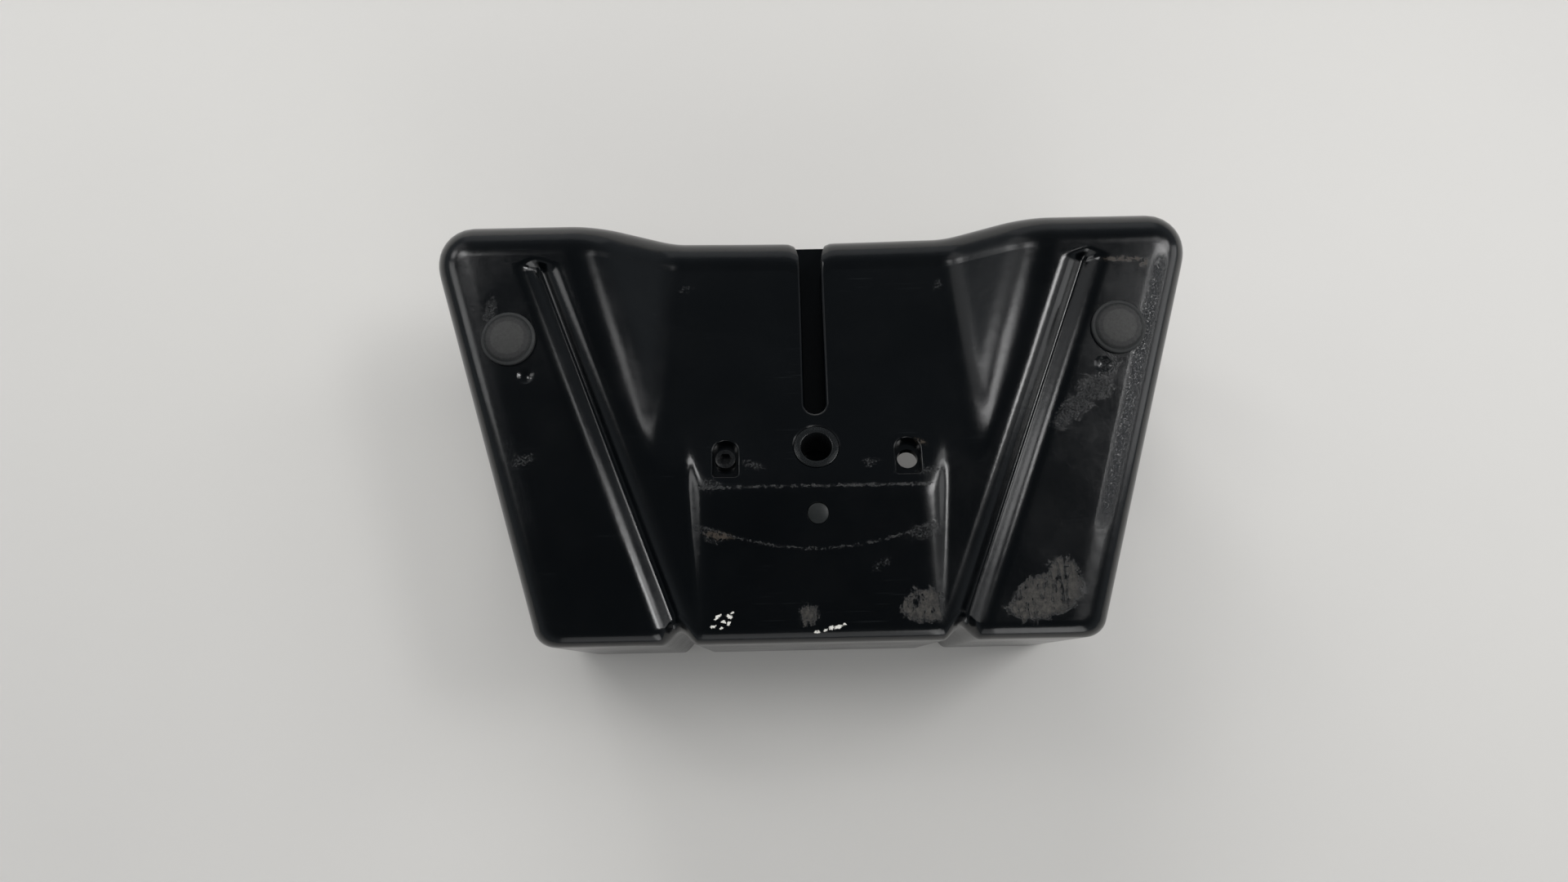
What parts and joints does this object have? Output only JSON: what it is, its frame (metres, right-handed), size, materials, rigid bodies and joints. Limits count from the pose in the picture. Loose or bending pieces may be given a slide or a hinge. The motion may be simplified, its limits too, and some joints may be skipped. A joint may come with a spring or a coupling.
{
  "type": "dual water bottle cage",
  "caption": "Moulded back shell with a dished seat, raised block and V grooves, carrying two splayed ring-and-cup bottle cages.",
  "frame": {"origin": "centre of the part's box, on the surface it lies on with its back up", "axes": "+X across the part, +Y towards the mouths of the cages, +Z out of the back"},
  "size_m": [0.2756, 0.1584, 0.099],
  "materials": {
    "shell_plastic": "glossy moulded, scuffed",
    "cage_plastic": "satin moulded",
    "bumper_rubber": "matte, worn",
    "screw_steel": "satin",
    "clip_steel": "satin",
    "insert_brass": "turned",
    "black_steel": "black, dull",
    "plug_plastic": "satin"
  },
  "bodies": {
    "root": {"back_shell": "shell_plastic", "left_cage": "cage_plastic", "right_cage": "cage_plastic", "left_bumper": "bumper_rubber", "right_bumper": "bumper_rubber", "left_bumper_clip": "clip_steel", "right_bumper_clip": "clip_steel", "centre_bush": "black_steel", "captive_nut": "black_steel", "captive_screw": "black_steel", "blanking_plug": "plug_plastic", "left_cage_screws": "screw_steel", "left_cage_washers": "screw_steel", "left_cage_inserts": "insert_brass", "right_cage_screws": "screw_steel", "right_cage_washers": "screw_steel", "right_cage_inserts": "insert_brass"}
  },
  "joints": []
}
